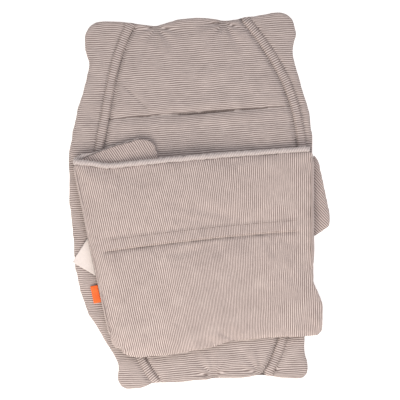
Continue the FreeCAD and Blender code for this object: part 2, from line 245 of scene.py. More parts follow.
def ribbon(name, light, dark, pitch, sheen, roughness):
    """Woven ribbon: fine crosswise ribs, a touch of shine on each, and slightly uneven dye."""
    material, tree, surface = new_material(name, {
        "Roughness": roughness, "IOR": 1.5, "Specular IOR Level": 0.45,
        "Sheen Weight": sheen, "Sheen Roughness": 0.4, "Sheen Tint": linear("#ffffff")})
    cloth = add(tree, "ShaderNodeUVMap", {"uv_map": "cloth"}, {})
    part = add(tree, "ShaderNodeSeparateXYZ", {}, {0: cloth.outputs[0]})
    turns = add(tree, "ShaderNodeMath", {"operation": "MULTIPLY", 1: 2 * math.pi / pitch},
                {0: part.outputs[0]})
    rib = add(tree, "ShaderNodeMath", {"operation": "SINE"}, {0: turns.outputs[0]})
    cross = add(tree, "ShaderNodeMath", {"operation": "MULTIPLY", 1: 2 * math.pi / (0.7 * pitch)},
                {0: part.outputs[1]})
    weave = add(tree, "ShaderNodeMath", {"operation": "SINE"}, {0: cross.outputs[0]})
    woven = add(tree, "ShaderNodeMath", {"operation": "MULTIPLY_ADD", 1: 0.4},
                {0: weave.outputs[0], 2: rib.outputs[0]})
    dye = add(tree, "ShaderNodeTexNoise", {"Scale": 120.0, "Detail": 3.0}, {"Vector": cloth.outputs[0]})
    mixed = add(tree, "ShaderNodeMath", {"operation": "MULTIPLY_ADD", 1: 0.22},
                {0: woven.outputs[0], 2: dye.outputs[0]})
    colour = add(tree, "ShaderNodeMix", {"data_type": "RGBA", 6: linear(dark), 7: linear(light)},
                 {0: mixed.outputs[0]})
    tree.links.new(colour.outputs[2], surface.inputs["Base Color"])
    bump = add(tree, "ShaderNodeBump", {"Strength": 0.5, "Distance": 0.15 * MM}, {"Height": woven.outputs[0]})
    tree.links.new(bump.outputs[0], surface.inputs["Normal"])
    return material


def pale_floor():
    """Matt white paper that is lit through from below: plain, so that only the wrap draws the eye."""
    material, tree, surface = new_material("floor_paper_white", {
        "Base Color": linear("#f4f3f1"), "Roughness": 0.95, "Specular IOR Level": 0.1,
        "Emission Color": linear("#ffffff"), "Emission Strength": 0.5})
    place = add(tree, "ShaderNodeTexCoord", {}, {})
    grain = add(tree, "ShaderNodeTexNoise", {"Scale": 300.0, "Detail": 2.0},
                {"Vector": place.outputs["Object"]})
    bump = add(tree, "ShaderNodeBump", {"Strength": 0.05, "Distance": 0.2 * MM}, {"Height": grain.outputs[0]})
    tree.links.new(bump.outputs[0], surface.inputs["Normal"])
    return material


COTTON = striped_cotton("striped_cotton_woven", "#c8bbb7", "#7c6f6b")
# the same cloth drawn slightly paler, for the wing, its end, tuck and fold, the tab and the joining strip
PALE_COTTON = striped_cotton("striped_cotton_woven_pale", "#d0c1bc", "#83746f")
ROLLED = rolled_cotton()
THREAD = cotton_thread()
LABEL = ribbon("label_ribbon_satin_woven", "#ebe2de", "#d9cec9", 0.9 * MM, 0.2, 0.55)
ORANGE = ribbon("tab_ribbon_grosgrain_orange", "#ff7a2c", "#e2561a", 1.5 * MM, 0.15, 0.6)


# ---------------------------------------------------------------- making and shaping

def deselect():
    if bpy.context.object and bpy.context.object.mode != "OBJECT":
        bpy.ops.object.mode_set(mode="OBJECT")
    bpy.ops.object.select_all(action="DESELECT")


def pick(piece):
    deselect()
    piece.select_set(True)
    bpy.context.view_layer.objects.active = piece


def applied(piece, kind, **settings):
    """Adds a modifier with these settings and applies it."""
    pick(piece)
    modifier = piece.modifiers.new(kind.lower(), kind)
    for name, value in settings.items():
        setattr(modifier, name, value)
    bpy.ops.object.modifier_apply(modifier=modifier.name)


def points(piece):
    flat = np.empty(len(piece.data.vertices) * 3)
    piece.data.vertices.foreach_get("co", flat)
    return flat.reshape(-1, 3)


def set_points(piece, co):
    piece.data.vertices.foreach_set("co", np.ascontiguousarray(co, float).ravel())
    piece.data.update()


def normals(piece):
    flat = np.empty(len(piece.data.vertices) * 3)
    piece.data.vertex_normals.foreach_get("vector", flat)
    return flat.reshape(-1, 3)


def surface_of(piece):
    """A tree to ask where this mesh's surface is."""
    mesh = piece.data
    return BVHTree.FromPolygons([v.co for v in mesh.vertices], [p.vertices for p in mesh.polygons])


def lumps(co, size, seed):
    """Smooth lumps of this size, from -1 to 1, the same each run."""
    shift = Vector((seed * 7.31, seed * 3.17, seed * 5.77))
    return np.array([noise.noise(Vector(p) / size + shift) for p in co])


def step(value, low, high):
    """0 below low, 1 above high, and smooth between them."""
    t = np.clip((value - low) / (high - low), 0, 1)
    return t * t * (3 - 2 * t)


def bell(distance, width):
    return np.exp(-(distance / width) ** 2)


def copied(name, *nodes):
    """CAD nodes copied and joined into one mesh, with their doubles merged."""
    deselect()
    for node in nodes:
        frame["nodes"][node].select_set(True)
    bpy.context.view_layer.objects.active = frame["nodes"][nodes[0]]
    bpy.ops.object.duplicate()
    if len(nodes) > 1:
        bpy.ops.object.join()
    piece = bpy.context.object
    bpy.ops.object.parent_clear(type="CLEAR_KEEP_TRANSFORM")
    for key in [k for k in piece.keys() if k.startswith("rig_")]:
        del piece[key]
    piece.name = piece.data.name = name
    bpy.ops.object.mode_set(mode="EDIT")
    bpy.ops.mesh.select_all(action="SELECT")
    bpy.ops.mesh.remove_doubles(threshold=1e-6)
    bpy.ops.object.mode_set(mode="OBJECT")
    piece.data.materials.clear()
    return piece


def inflated(piece, held, cap):
    """Fills a remeshed pad with air by a cloth simulation. held is how firmly each point is sewn down,
    and no point moves further than cap."""
    before = points(piece)
    group = piece.vertex_groups.new(name="sewn")
    for level in range(1, 11):
        members = np.nonzero(np.round(held * 10) == level)[0].tolist()
        if members:
            group.add(members, level / 10, "REPLACE")
    pick(piece)
    cloth = piece.modifiers.new("cloth", "CLOTH")
    settings = cloth.settings
    settings.quality = 5
    settings.mass = 0.2
    settings.tension_stiffness = 14
    settings.compression_stiffness = 14
    settings.shear_stiffness = 6
    settings.bending_stiffness = 0.6
    settings.use_pressure = True
    settings.uniform_pressure_force = PRESSURE
    settings.effector_weights.gravity = 0
    settings.vertex_group_mass = "sewn"
    cloth.point_cache.frame_start = 1
    cloth.point_cache.frame_end = 20
    for number in range(1, 21):
        bpy.context.scene.frame_set(number)
    bpy.ops.object.modifier_apply(modifier="cloth")
    bpy.context.scene.frame_set(1)
    moved = points(piece) - before
    length = np.maximum(np.linalg.norm(moved, axis=1), 1e-9)
    piece.vertex_groups.clear()
    return before + moved * (cap * np.tanh(length / cap) / length)[:, None]


def remeshed(name, nodes, voxel, thinner, level):
    """A pad's closed outside in even quads, thinned towards a level so that it has room to swell."""
    piece = copied(name, *nodes)
    applied(piece, "REMESH", mode="VOXEL", voxel_size=voxel)
    applied(piece, "SMOOTH", factor=0.5, iterations=4)
    co = points(piece)
    middle = level(co)
    co[:, 2] = middle + (co[:, 2] - middle) * thinner
    set_points(piece, co)
    return piece


def paint(piece, across, along, worn=0.0, shade=0.0):
    """Writes where each point lies on its cloth, in metres, how worn it is, and how much painted shade
    darkens it in a groove.
    """
    mesh = piece.data
    layer = mesh.uv_layers.get("cloth") or mesh.uv_layers.new(name="cloth")
    owner = np.empty(len(mesh.loops), int)
    mesh.loops.foreach_get("vertex_index", owner)
    pairs = np.stack([across[owner], along[owner]], axis=1)
    layer.data.foreach_set("uv", pairs.astype(np.float32).ravel())
    for name, amount in (("worn", worn), ("shade", shade)):
        attribute = mesh.attributes.get(name) or mesh.attributes.new(name, "FLOAT", "POINT")
        amounts = np.zeros(len(mesh.vertices)) + amount
        attribute.data.foreach_set("value", np.clip(amounts, 0, 1).astype(np.float32))


def finished(piece, material):
    """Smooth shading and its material."""
    pick(piece)
    bpy.ops.object.shade_smooth()
    piece.data.materials.clear()
    piece.data.materials.append(material)
    return piece


def unfolded(piece, top):
    """Each point's x and y as they would be with the pad's cloth laid out flat."""
    co = points(piece)
    facing = normals(piece)
    drop = np.clip(top - co[:, 2], 0, None)
    return co[:, 0] + facing[:, 0] * drop, co[:, 1] + facing[:, 1] * drop


def leaning(x, y, degrees):
    """Where a point lies on a cloth whose stripes lean by this much."""
    lean = math.radians(degrees)
    return x * math.cos(lean) + y * math.sin(lean), y * math.cos(lean) - x * math.sin(lean)


def lengths_along(line):
    """How far each point of a line is from its start, measured along it."""
    return np.concatenate([[0], np.cumsum(np.linalg.norm(np.diff(line, axis=0), axis=1))])


def fanned(co, centre, turn):
    """Creases that fan out from a place, from -1 to 1, and how far each point is from it."""
    dx, dy = co[:, 0] - centre.x, co[:, 1] - centre.y
    away = np.hypot(dx, dy)
    return np.sin(9 * np.arctan2(dy, dx) + turn) * step(away, 3 * MM, 16 * MM), away


def pulled_in(co, facing, top, rim, depth, bulge):
    """A pad's outline seam pulled in by depth, with small puckers, and its side pushed out by bulge."""
    out = facing * (1, 1, 0)
    pucker = np.sin(co[:, 0] / (2.4 * MM) + co[:, 1] / (2.7 * MM))
    co = co - out * (rim * (depth + 0.3 * MM * pucker))[:, None]
    return co + out * ((1 - top) * bulge(co))[:, None]


def soft_limit(value, limit, past):
    """Values over the limit, brought back to run smoothly to no more than past over it."""
    over = value - limit
    return np.where(over > 0, limit + past * np.tanh(over / past), value)


def on_surface(tree, x, y, otherwise):
    """A stitch's place, resting on this surface."""
    return x, y, height_of(tree, x, y, otherwise) + 0.05 * MM


def woven_strip(name, rows, columns, place, size, thickness):
    """A strip of cloth from a grid: place(s, t) is its point, s along and t across from 0 to 1, and size its
    length and width laid flat. Its underside is thickness below."""
    deselect()
    bpy.ops.mesh.primitive_grid_add(x_subdivisions=columns, y_subdivisions=rows, size=1,
                                    location=(0.5, 0.5, 0))
    piece = bpy.context.object
    piece.name = piece.data.name = name
    bpy.ops.object.transform_apply(location=True, rotation=True, scale=True)
    grid = points(piece)
    set_points(piece, np.array([place(p[1], p[0]) for p in grid]))
    for layer in list(piece.data.uv_layers):
        piece.data.uv_layers.remove(layer)
    paint(piece, grid[:, 1] * size[0], grid[:, 0] * size[1])
    if thickness:
        applied(piece, "SOLIDIFY", thickness=thickness, offset=-1.0)
    return piece


def outward(piece, merge=0.0):
    """Merges doubles closer than merge, and turns the faces outward."""
    pick(piece)
    bpy.ops.object.mode_set(mode="EDIT")
    bpy.ops.mesh.select_all(action="SELECT")
    if merge:
        bpy.ops.mesh.remove_doubles(threshold=merge)
    bpy.ops.mesh.normals_make_consistent(inside=False)
    bpy.ops.object.mode_set(mode="OBJECT")


def crossings(node, positions, axis, level):
    """Where a CAD strip's two long sides are at each position along it, in metres."""
    tree = surface_of(frame["nodes"][node])
    found = []
    for at in positions:
        pair = []
        for side in (-1.0, 1.0):
            start = Vector((side, at, level)) if axis == "x" else Vector((at, side, level))
            aim = Vector((-side, 0, 0)) if axis == "x" else Vector((0, -side, 0))
            hit = tree.ray_cast(start, aim)[0]
            pair.append(None if hit is None else (hit.x if axis == "x" else hit.y))
        if None not in pair:
            found.append((at, pair[0], pair[1]))
    return np.array(found)


def height_of(tree, x, y, otherwise):
    """How high this surface is at x and y, or otherwise where there is none."""
    hit = tree.ray_cast(Vector((x, y, RAY_START)), Vector((0, 0, -1)))[0]
    return otherwise if hit is None else hit.z


def outline_at(tree, x_of, y_start, step_y, low):
    """Where a line that runs along Y comes to the pad's outline, past y_start, at a height above low."""
    y = y_start
    while height_of(tree, x_of(y), y, 0.0) > low:
        y += step_y
    return y - step_y


def stitches(name, lines, width, height):
    """Rows of lockstitches: one small lozenge of thread, copied along each line of points."""
    deselect()
    bpy.ops.mesh.primitive_uv_sphere_add(segments=6, ring_count=4, radius=0.5, rotation=(0, math.pi / 2, 0))
    one = bpy.context.object
    bpy.ops.object.transform_apply(location=True, rotation=True, scale=True)
    shape = points(one) * np.array([STITCH, width, height])
    faces = [list(p.vertices) for p in one.data.polygons]
    bpy.data.objects.remove(one)
    all_points, all_faces = [], []
    for line in lines:
        line = np.array(line)
        run = lengths_along(line)
        count = int(run[-1] / (STITCH + STITCH_GAP))
        for k in range(count):
            at = (k + 0.5) * run[-1] / count
            ends = [np.array([np.interp(at + d, run, line[:, c]) for c in range(3)])
                    for d in (-STITCH / 2, STITCH / 2)]
            middle = (ends[0] + ends[1]) / 2
            ahead = (ends[1] - ends[0]) / np.linalg.norm(ends[1] - ends[0])
            side = np.cross((0, 0, 1), ahead)
            side /= np.linalg.norm(side)
            up = np.cross(ahead, side)
            first = sum(len(p) for p in all_points)
            all_points.append(middle + shape @ np.array([ahead, side, up]))
            all_faces.extend([[i + first for i in f] for f in faces])
    mesh = bpy.data.meshes.new(name)
    mesh.from_pydata(np.concatenate(all_points).tolist(), [], all_faces)
    piece = bpy.data.objects.new(name, mesh)
    bpy.context.scene.collection.objects.link(piece)
    return finished(piece, THREAD)


# ---------------------------------------------------------------- the back panel

BAND_LEVEL = sum(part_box("left_band"), Vector()).z / 2
bands = {}
for side in ("left", "right"):
    low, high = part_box(side + "_band")
    stations = np.linspace(low.y + 3 * MM, high.y - 3 * MM, 150)
    bands[side] = crossings(side + "_band", stations, "x", BAND_LEVEL)

seam_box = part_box("cross_seam_stitching")
seam_level = (seam_box[0].z + seam_box[1].z) / 2
stations = np.linspace(seam_box[0].x + MM, seam_box[1].x - MM, 80)
seam = crossings("cross_seam_stitching", stations, "y", seam_level)
# where the end seams are stitched in, beside the lobes
NOTCHES = [Vector(p) * MM for p in ((-70, 278, 0), (39, 284, 0), (22, -281, 0), (96, -277, 0))]


def band_middle(side, y):
    line = bands[side]
    return np.interp(y, line[:, 0], (line[:, 1] + line[:, 2]) / 2)


def seam_at(x):
    return np.interp(x, seam[:, 0], (seam[:, 1] + seam[:, 2]) / 2)


def back_sewn(co):
    """How far each point is from the bands' middles and the cross seam, and if it is between the bands."""
    left = co[:, 0] - band_middle("left", co[:, 1])
    right = co[:, 0] - band_middle("right", co[:, 1])
    between = (left > 0) & (right < 0)
    cross = np.where(between, np.abs(co[:, 1] - seam_at(co[:, 0])), 1.0)
    return left, right, between, cross


# where the filled panel pushes out past its cut outline: a place, how far around it, and the push, in mm
EASE = [((-140, 290), 62, (0.5, 6.5)), ((150, 268), 60, (5.0, 2.0)), ((-208, 110), 85, (-4.5, 0)),
        ((-196, -140), 70, (-4.5, 0)), ((162, -272), 52, (4.5, -5.0)), ((-120, -292), 55, (1.0, -3.0)),
        ((12, 286), 50, (0, 2.5))]


def eased(co):
    moved = co.copy()
    for (x, y), radius, (push_x, push_y) in EASE:
        near = bell(np.hypot(co[:, 0] - x * MM, co[:, 1] - y * MM), radius * MM)
        moved[:, 0] += near * push_x * MM
        moved[:, 1] += near * push_y * MM
    return moved


def make_back():
    nodes = ["back_lower_cloth", "back_padding", "head_cloth", "seat_cloth", "left_side_cloth",
             "right_side_cloth"]
    piece = remeshed("back_panel", nodes, 4 * MM, 0.74, lambda co: np.zeros(len(co)))
    co = points(piece)
    left, right, between, cross = back_sewn(co)
    upper = co[:, 2] > BACK_SEAM * 0.74 + MM
    near = np.maximum.reduce([bell(left, 8 * MM), bell(right, 8 * MM), bell(cross, 5 * MM)]) * upper
    co[:, 2] -= 1.4 * MM * near
    set_points(piece, co)
    held = np.where(co[:, 2] < 1.5 * MM, 1.0, near)
    co = eased(inflated(piece, held, 6 * MM))
    co[:, 2] = np.maximum(co[:, 2], 0)
    set_points(piece, co)
    applied(piece, "SUBSURF", levels=1, render_levels=1)

    co = points(piece)
    facing = normals(piece)
    left, right, between, cross = back_sewn(co)
    top = step(facing[:, 2], 0.1, 0.7)
    lift = 1.8 * MM * lumps(co, 70 * MM, 1) + 1.2 * MM * lumps(co * (0.6, 1.0, 1.0), 22 * MM, 2)
    for away, inner in ((left, left), (right, -right)):
        # the middle cloths dip to the inner edge of each band, and the side cloths a little to its outer edge
        lift -= 3.0 * MM * bell(inner - 9.0 * MM, 3.4 * MM) + 1.4 * MM * bell(inner + 9 * MM, 4 * MM)
        lift -= 0.9 * MM * bell(away, 7.5 * MM)
        lift += 0.8 * MM * bell(inner - 24 * MM, 12 * MM)
        ripple = np.sin(co[:, 1] / (2.6 * MM) + 5 * lumps(co, 40 * MM, 3))
        beside = np.exp(-np.abs(np.abs(away) - 8 * MM) / (11 * MM)) * (np.abs(away) > 7 * MM)
        lift += 0.34 * MM * ripple * beside
    sharp = bell(co[:, 0] + 4 * MM, 88 * MM)
    lift -= (0.4 + 1.5 * sharp) * MM * bell(cross, 2.6 * MM)
    lift += (0.5 + 0.8 * sharp) * MM * bell(cross - 13 * MM, 8 * MM)
    ripple = np.sin(co[:, 0] / (3.4 * MM) + 4 * lumps(co, 45 * MM, 4))
    lift += 0.3 * MM * ripple * step(cross, 2 * MM, 7 * MM) * np.exp(-cross / (12 * MM)) * between
    # creases fan out from the sewn notches at the ends
    for k, notch in enumerate(NOTCHES):
        fan, away = fanned(co, notch, k)
        lift += 1.7 * MM * fan * np.exp(-away / (34 * MM))
        lift -= 3.0 * MM * bell(away, 11 * MM)
    # one crease runs down from the left band to the seam
    a, b = Vector((-126, 186, 0)) * MM, Vector((-83, 144, 0)) * MM
    d = (b - a).normalized()
    off = (co[:, 0] - a.x) * -d.y + (co[:, 1] - a.y) * d.x
    on = (co[:, 0] - a.x) * d.x + (co[:, 1] - a.y) * d.y
    inside = step(on, -8 * MM, 8 * MM) * step(on, (b - a).length + 12 * MM, (b - a).length - 6 * MM)
    lift -= 0.9 * MM * bell(off, 3.2 * MM) * inside
    co[:, 2] += lift * top
    # the outline seam is pulled in, with small puckers above and below it
    rim = bell(co[:, 2] - 6.5 * MM, 2.2 * MM) * (1 - top)
    co = pulled_in(co, facing, top, rim, 1.0 * MM, lambda co: 2.2 * MM * lumps(co * (1, 1, 0), 26 * MM, 7))
    co[:, 2] = np.clip(co[:, 2], 0, None)
    co[:, 2] = soft_limit(co[:, 2], BACK_LIMIT, 1.5 * MM)
    set_points(piece, co)

    x, y = unfolded(piece, BACK_TOP)
    across = x * PANEL_Y.x + y * PANEL_Y.y + 0.6 * MM * lumps(co, 90 * MM, 5)
    along = x * PANEL_X.x + y * PANEL_X.y
    across = np.where(between, across, across + 1.5 * MM + 0.03 * x)
    across = np.where((co[:, 1] > seam_at(co[:, 0])) & between, across + 0.9 * MM, across)
    worn = 0.22 * rim + 0.1 * top * lumps(co, 22 * MM, 6)
    # painted shade: darker in the cross seam's groove, along both edges of each band, in the crease and round
    # the notches
    shade = (0.3 + 0.7 * sharp) * bell(cross, 2.0 * MM) * (1 + 0.5 * lumps(co, 9 * MM, 8))
    for inner in (left, -right):
        shade += 0.8 * bell(inner - 8.0 * MM, 1.7 * MM) * (1 + 0.8 * lumps(co, 30 * MM, 9))
        shade += 0.5 * bell(inner + 8.0 * MM, 1.6 * MM)
    shade += 0.28 * bell(off, 1.6 * MM) * inside
    for notch in NOTCHES:
        shade += 0.3 * bell(np.hypot(co[:, 0] - notch.x, co[:, 1] - notch.y), 9 * MM)
    paint(piece, across, along, worn, shade * top)
    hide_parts(*nodes)
    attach(piece, "back")
    return finished(piece, COTTON)


back = make_back()
back_tree = surface_of(back)


def make_band(side):
    """A folded strip of the same cloth, laid over the seam, with its stripes across it."""
    line = bands[side]
    length = line[-1, 0] - line[0, 0]

    def edges(y):
        if y < line[0, 0] or y > line[-1, 0]:
            a, b = (line[0], line[6]) if y < line[0, 0] else (line[-7], line[-1])
            share = (y - a[0]) / (b[0] - a[0])
            return a[1] + (b[1] - a[1]) * share, a[2] + (b[2] - a[2]) * share
        return np.interp(y, line[:, 0], line[:, 1]), np.interp(y, line[:, 0], line[:, 2])

    def end_of(t, y_start, step_y):
        def x_of(y):
            first, last = edges(y)
            return first + (last - first) * t
        return outline_at(back_tree, x_of, y_start, step_y, 5 * MM)

    columns = 12
    ends = {k: (end_of(k / columns, line[0, 0] + 20 * MM, -0.5 * MM),
                end_of(k / columns, line[-1, 0] - 20 * MM, 0.5 * MM)) for k in range(columns + 1)}

    def place(s, t):
        y_low, y_high = ends[round(t * columns)]
        y = y_low + s * (y_high - y_low)
        first, last = edges(y)
        narrow = 0.0
        if side == "left":
            # it twists a little where the head cloth pulls on it
            narrow = 0.16 * math.exp(-((y - 196 * MM) / (16 * MM)) ** 2)
        x = first + (last - first) * (0.5 + (t - 0.5) * (1 - narrow))
        ground = height_of(back_tree, x, y, 5 * MM)
        crown = 1 - abs(2 * t - 1) ** 3
        wavy = 0.3 * MM * math.sin(y / (4.1 * MM) + 2 * math.sin(y / (23 * MM)))
        dip = 0.5 * MM * (math.exp(-((t - 0.13) / 0.05) ** 2) + math.exp(-((t - 0.87) / 0.05) ** 2))
        tucked = step(min(s, 1 - s) * length, -1 * MM, 8 * MM)
        return x, y, ground + tucked * (0.15 * MM + 1.9 * MM * crown - dip + wavy * crown)

    piece = woven_strip(side + "_edge_band", 300, columns, place, (length * 1.01, 14 * MM), 1.1 * MM)
    co = points(piece)
    middle = band_middle(side, line[:, 0])
    run = lengths_along(np.stack([line[:, 0], middle], axis=1))
    slant = np.interp(co[:, 1], line[:, 0], np.gradient(middle, line[:, 0]))
    slant /= np.hypot(1, slant)
    beside = co[:, 0] - band_middle(side, co[:, 1])
    beyond = co[:, 1] - np.clip(co[:, 1], line[0, 0], line[-1, 0])
    paint(piece, (np.interp(co[:, 1], line[:, 0], run) + beyond + beside * slant) * 0.93, beside)
    finished(piece, COTTON)
    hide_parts(side + "_band")
    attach(piece, "back")
    tree = surface_of(piece)
    rows = []
    for share in (0.13, 0.87):
        row = []
        for y in np.arange(line[0, 0], line[-1, 0], 1.5 * MM):
            first, last = edges(y)
            x = first + (last - first) * share
            row.append(on_surface(tree, x, y, BACK_TOP))
        rows.append(row)
    thread = stitches(side + "_band_stitches", rows, 0.75 * MM, 0.5 * MM)
    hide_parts(side + "_band_stitching")
    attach(thread, "back")


make_band("left")
make_band("right")

seam_row = [on_surface(back_tree, x, seam_at(x), BACK_TOP) for x in seam[:, 0]]
seam_thread = stitches("cross_seam_stitches", [seam_row], 0.55 * MM, 0.35 * MM)
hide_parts("cross_seam_stitching")
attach(seam_thread, "back")


# ---------------------------------------------------------------- the tab at the right edge

def make_tab():
    nodes = ["tab_lower_cloth", "tab_upper_cloth", "tab_padding"]
    piece = remeshed("right_tab", nodes, 3 * MM, 0.85, lambda co: np.zeros(len(co)))
    co = points(piece)
    held = (co[:, 2] < 1.2 * MM) * 1.0
    co = inflated(piece, held, 2.5 * MM)
    co[:, 2] = np.clip(co[:, 2], 0, TAB_THICK + 0.2 * MM)
    set_points(piece, co)
    applied(piece, "SUBSURF", levels=1, render_levels=1)
    co = points(piece)
    top = step(normals(piece)[:, 2], 0.1, 0.7)
    fold = np.sin((co[:, 0] + 0.55 * co[:, 1]) / (5.5 * MM) + 3 * lumps(co, 40 * MM, 11))
    co[:, 2] += top * (0.45 * MM * fold + 0.5 * MM * lumps(co, 18 * MM, 12) - 0.5 * MM)
    co[:, 2] = np.clip(co[:, 2], 0, None)
    set_points(piece, co)
    x, y = unfolded(piece, TAB_THICK)
    paint(piece, *leaning(x, y, 45))
    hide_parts(*nodes)
    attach(piece, "back")
    return finished(piece, PALE_COTTON)


make_tab()


# ---------------------------------------------------------------- the wing

def wing_raise(x):
    """How far the wing lies above the back panel's level at x, because of its folded end."""
    share = np.clip((x - SLOPE_START) / (SLOPE_END - SLOPE_START), 0, 1)
    return (WING_HIGH - WING_LOW - WING_THICK) * (1 - share)


def from_fold(co):
    """How far points are along the left fold, and inward from it."""
    flat = co - np.array(FOLD_TOP)
    return flat @ np.array(ALONG), flat @ np.array(INWARD)


def fold_bow(along):
    """How far the fold bulges out past its straight line."""
    share = np.clip(along / FOLD_LENGTH, 0, 1)
    return 0.9 * MM * np.sin(math.pi * share) + 0.2 * MM * np.sin(share * 19)


def rounded_fold(co, upward):
    """Turns a pad's edge at the fold from a half round into a quarter round, so that the wing and its end
    make one full fold together."""
    along, inward = from_fold(co)
    half = WING_THICK / 2
    high = np.clip((co[:, 2] - FOLD_HEIGHT) * upward / WING_THICK, 0, 1)
    before = half * (1 - np.sqrt(np.clip(1 - (2 * high - 1) ** 2, 0, 1)))
    reach = WING_THICK + (fold_bow(along) if upward > 0 else -0.3 * MM)
    after = WING_THICK - reach * np.sqrt(np.clip(1 - high ** 2, 0, 1))
    ends = step(along, -4 * MM, 10 * MM) * step(along, FOLD_LENGTH + 4 * MM, FOLD_LENGTH - 12 * MM)
    weight = step(inward, 26 * MM, 2 * MM) * ends
    return co + np.outer((after - before) * weight, np.array(INWARD))


def rounded_corner(co, radius):
    """Rounds the square corner at the lower end of the fold, from a square to a disc's quarter."""
    along, inward = from_fold(co)
    a = radius - (FOLD_LENGTH - along)
    b = radius - (inward + fold_bow(along))
    inside = (a > 0) & (b > 0)
    longest = np.maximum(a, b)
    share = np.where(inside, longest / np.maximum(np.hypot(a, b), 1e-9), 1.0) - 1
    return co + np.outer(a * share, np.array(ALONG)) - np.outer(b * share, np.array(INWARD))


def wing_cloth(x, y):
    """Where a point of the wing lies on its cloth: the stripes lean more and more towards the fold."""
    lean = 1 - step(x, -60 * MM, 130 * MM)
    return x - math.tan(math.radians(12.5)) * lean * (0.06 - y), y


pleat_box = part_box("wing_pleat")
pleat_tree = surface_of(frame["nodes"]["wing_pleat"])
pleat_lines = []
for x in np.linspace(pleat_box[0].x + MM, pleat_box[1].x - MM, 140):
    ys = [y for y in np.arange(pleat_box[0].y, pleat_box[1].y, 0.5 * MM)
          if height_of(pleat_tree, x, y, None) is not None]
    if ys:
        pleat_lines.append((x, ys[0], ys[-1]))
pleat_lines = np.array(pleat_lines)


def pleat_at(x):
    """The pleat's lower and upper edges at x."""
    return tuple(np.interp(x, pleat_lines[:, 0], pleat_lines[:, c]) for c in (1, 2))


def make_wing():
    nodes = ["wing_outer_cloth", "wing_inner_cloth", "wing_padding"]
    level = lambda co: WING_LOW + wing_raise(co[:, 0])
    piece = remeshed("wing_panel", nodes, 4 * MM, 0.8, level)
    co = points(piece)
    floor_of = WING_LOW + wing_raise(co[:, 0])
    low, high = pleat_at(co[:, 0])
    upper = co[:, 2] > floor_of + 4 * MM
    near = np.maximum(bell(co[:, 1] - low, 4 * MM), bell(co[:, 1] - high, 4 * MM)) * upper
    held = np.where(co[:, 2] < floor_of + 1.2 * MM, 1.0, near)
    co = inflated(piece, held, 5 * MM)
    floor_of = WING_LOW + wing_raise(co[:, 0])
    co[:, 2] = np.maximum(co[:, 2], floor_of)
    set_points(piece, co)
    applied(piece, "SUBSURF", levels=1, render_levels=1)

    co = points(piece)
    facing = normals(piece)
    top = step(facing[:, 2], 0.1, 0.7)
    low, high = pleat_at(co[:, 0])
    inside = step(co[:, 0], pleat_lines[0, 0] - 5 * MM, pleat_lines[0, 0] + 10 * MM)
    inside *= step(co[:, 0], pleat_lines[-1, 0] + 5 * MM, pleat_lines[-1, 0] - 10 * MM)
    lift = 1.5 * MM * lumps(co, 75 * MM, 21) + 1.0 * MM * lumps(co * (1.0, 0.7, 1.0), 26 * MM, 22) - 0.6 * MM
    by_low, by_high = co[:, 1] - low, co[:, 1] - high
    lift -= inside * (1.7 * MM * bell(by_low + 1.2 * MM, 2.4 * MM) + 0.35 * MM * bell(by_high, 3 * MM))
    # painted shade: darker along the tuck's lower and upper rows
    shade = inside * (0.9 * bell(by_low + 0.8 * MM, 1.3 * MM) + 0.2 * bell(by_high - MM, 1.4 * MM))
    shade = shade * (1 + 0.7 * lumps(co, 24 * MM, 33)) * top
    for line in (low, high):
        ripple = np.sin(co[:, 0] / (2.9 * MM) + 4 * lumps(co, 50 * MM, 23))
        lift += inside * 0.3 * MM * ripple * np.exp(-np.abs(co[:, 1] - line) / (12 * MM))
    # two sets of soft folds slant across each other below the pleat
    below = step(co[:, 1], -70 * MM, -120 * MM)
    slant = (co[:, 0] * 0.62 + co[:, 1] * 0.78) + 9 * MM * lumps(co, 70 * MM, 24)
    lift += 0.9 * MM * below * np.sin(slant / (6.5 * MM)) * np.clip(lumps(co, 55 * MM, 25) + 0.25, 0, 1)
    slant = (co[:, 0] * 0.75 - co[:, 1] * 0.66) + 9 * MM * lumps(co, 60 * MM, 26)
    lift += 0.7 * MM * below * np.sin(slant / (7.5 * MM)) * np.clip(lumps(co, 60 * MM, 27) + 0.1, 0, 1)
    notch = Vector((56, -225, 0)) * MM
    fan, away = fanned(co, notch, 0)
    lift += 1.1 * MM * fan * np.exp(-away / (32 * MM))
    lift -= 1.6 * MM * bell(away, 10 * MM)
    co[:, 2] += lift * top
    floor_of = WING_LOW + wing_raise(co[:, 0])
    middle = floor_of + WING_THICK / 2
    rim = bell(co[:, 2] - middle, 2 * MM) * (1 - top)
    bulge = lambda co: 2.4 * MM * lumps(co * (1, 1, 0), 30 * MM, 30) * (co[:, 1] < 0)
    co = pulled_in(co, facing, top, rim, 0.8 * MM, bulge)
    ceiling = floor_of + WING_THICK - 0.6 * MM
    co[:, 2] = soft_limit(co[:, 2], ceiling, 1.4 * MM)
    co[:, 2] = np.maximum(co[:, 2], floor_of)
    co = rounded_corner(rounded_fold(co, 1), WING_CORNER)
    set_points(piece, co)
    drop = np.clip(middle + WING_THICK / 2 - co[:, 2], 0, WING_THICK)
    x = co[:, 0] + facing[:, 0] * drop
    y = co[:, 1] + facing[:, 1] * drop
    across, along = wing_cloth(x, y)
    worn = 0.2 * rim * step(from_fold(co)[1], 8 * MM, 24 * MM) + 0.1 * top * lumps(co, 22 * MM, 29)
    paint(piece, across + 0.5 * MM * lumps(co, 80 * MM, 28), along, worn, shade)
    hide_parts(*nodes)
    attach(piece, "wing")
    return finished(piece, PALE_COTTON)


wing = make_wing()
wing_tree = surface_of(wing)


